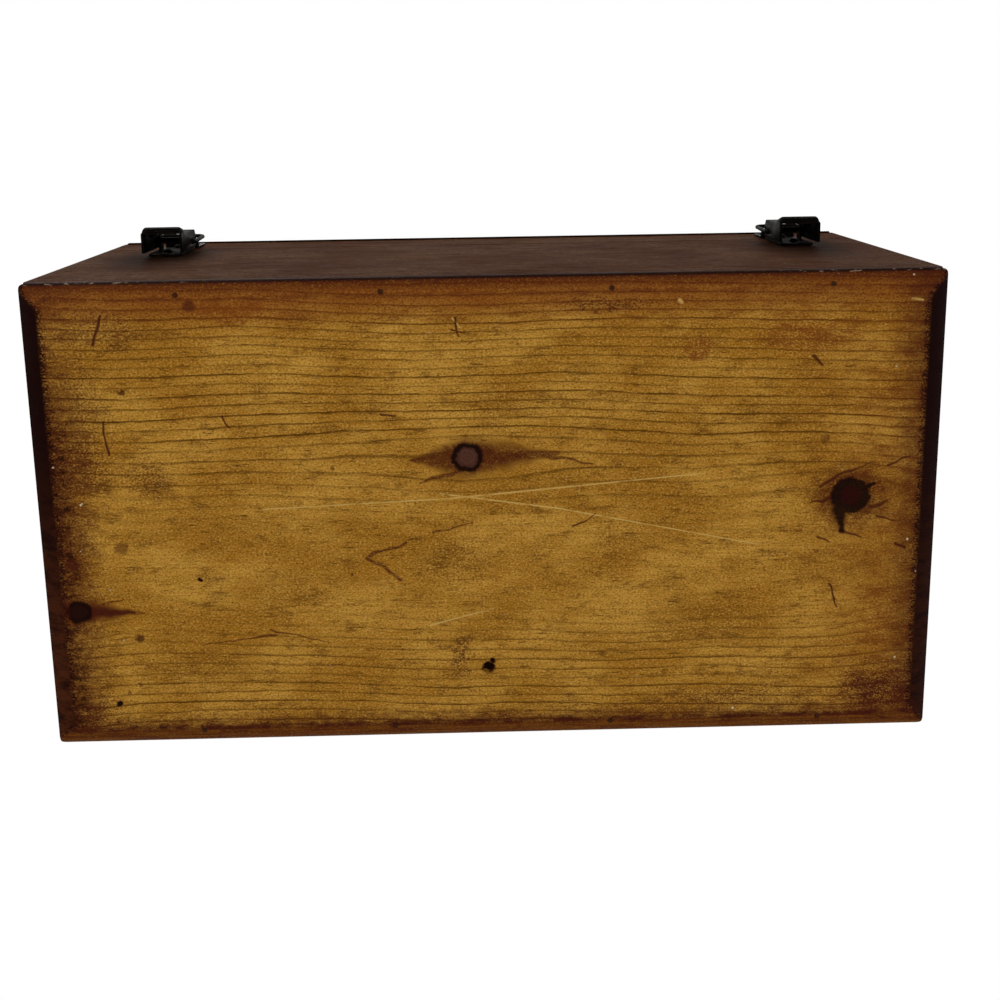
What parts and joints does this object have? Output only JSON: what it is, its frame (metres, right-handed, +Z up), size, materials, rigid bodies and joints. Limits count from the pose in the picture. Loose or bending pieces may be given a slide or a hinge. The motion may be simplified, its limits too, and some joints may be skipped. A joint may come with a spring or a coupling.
{
  "type": "tool box",
  "caption": "Lidded wooden tool box with a bevelled base board, black draw latches on the front, hinges at the back and a folding handle on the lid.",
  "frame": {"origin": "centre of the underside, on the surface that the box stands on", "axes": "+X along the length to the right, +Y from the latched front to the hinged back, +Z up"},
  "size_m": [0.46, 0.2659, 0.2651],
  "materials": {
    "bare_pine": "bare pine gone honey brown, scratched and grimy",
    "stained_pine": "dark brown stain with a worn satin sheen",
    "black_enamel": "glossy black enamel on sheet steel and wire",
    "nail_steel": "dull rusted steel"
  },
  "bodies": {
    "body": {"bottom_board": "bare_pine", "front_board": "stained_pine", "back_board": "stained_pine", "left_end_board": "stained_pine", "right_end_board": "stained_pine", "base_nail_1": "nail_steel", "base_nail_2": "nail_steel", "base_nail_3": "nail_steel", "base_nail_4": "nail_steel", "base_nail_5": "nail_steel", "base_nail_6": "nail_steel", "base_nail_7": "nail_steel", "base_nail_8": "nail_steel", "left_latch_base": "black_enamel", "left_latch_pin": "black_enamel", "left_latch_screw_upper": "black_enamel", "left_latch_screw_lower": "black_enamel", "right_latch_base": "black_enamel", "right_latch_pin": "black_enamel", "right_latch_screw_upper": "black_enamel", "right_latch_screw_lower": "black_enamel", "left_hinge_body_leaf": "black_enamel", "left_hinge_pin": "black_enamel", "left_hinge_body_screw_1": "black_enamel", "left_hinge_body_screw_2": "black_enamel", "right_hinge_body_leaf": "black_enamel", "right_hinge_pin": "black_enamel", "right_hinge_body_screw_1": "black_enamel", "right_hinge_body_screw_2": "black_enamel"},
    "lid": {"lid_panel": "stained_pine", "lid_front_rail": "stained_pine", "lid_back_rail": "stained_pine", "lid_left_rail": "stained_pine", "lid_right_rail": "stained_pine", "left_latch_hook": "black_enamel", "left_hook_screw_1": "black_enamel", "left_hook_screw_2": "black_enamel", "right_latch_hook": "black_enamel", "right_hook_screw_1": "black_enamel", "right_hook_screw_2": "black_enamel", "left_hinge_lid_leaf": "black_enamel", "left_hinge_lid_screw_1": "black_enamel", "left_hinge_lid_screw_2": "black_enamel", "right_hinge_lid_leaf": "black_enamel", "right_hinge_lid_screw_1": "black_enamel", "right_hinge_lid_screw_2": "black_enamel", "handle_left_bracket": "black_enamel", "handle_left_screw_1": "black_enamel", "handle_left_screw_2": "black_enamel", "handle_right_bracket": "black_enamel", "handle_right_screw_1": "black_enamel", "handle_right_screw_2": "black_enamel"},
    "left_lever": {"left_latch_lever": "black_enamel"},
    "left_loop": {"left_latch_loop": "black_enamel"},
    "right_lever": {"right_latch_lever": "black_enamel"},
    "right_loop": {"right_latch_loop": "black_enamel"},
    "handle": {"handle_bail": "black_enamel"}
  },
  "joints": [
    {"name": "lid_hinge", "type": "hinge", "parent": "body", "child": "lid", "pos_m": [0, 0.1245, 0.19715], "axis": [-1, 0, 0], "range_deg": [0, 170]},
    {"name": "left_lever_flip", "type": "hinge", "parent": "body", "child": "left_lever", "pos_m": [-0.185, -0.1282, 0.1815], "axis": [-1, 0, 0], "range_deg": [0, 130]},
    {"name": "left_loop_turn", "type": "hinge", "parent": "left_lever", "child": "left_loop", "pos_m": [-0.185, -0.1276, 0.1715], "axis": [-1, 0, 0], "range_deg": [-130, 0]},
    {"name": "right_lever_flip", "type": "hinge", "parent": "body", "child": "right_lever", "pos_m": [0.185, -0.1282, 0.1815], "axis": [-1, 0, 0], "range_deg": [0, 130]},
    {"name": "right_loop_turn", "type": "hinge", "parent": "right_lever", "child": "right_loop", "pos_m": [0.185, -0.1276, 0.1715], "axis": [-1, 0, 0], "range_deg": [-130, 0]},
    {"name": "handle_fold", "type": "hinge", "parent": "lid", "child": "handle", "pos_m": [0, 0, 0.259], "axis": [-1, 0, 0], "range_deg": [0, 192]}
  ],
  "couplings": [
    {"joint": "left_loop_turn", "follows": "left_lever_flip", "ratio": -1},
    {"joint": "right_loop_turn", "follows": "right_lever_flip", "ratio": -1}
  ]
}
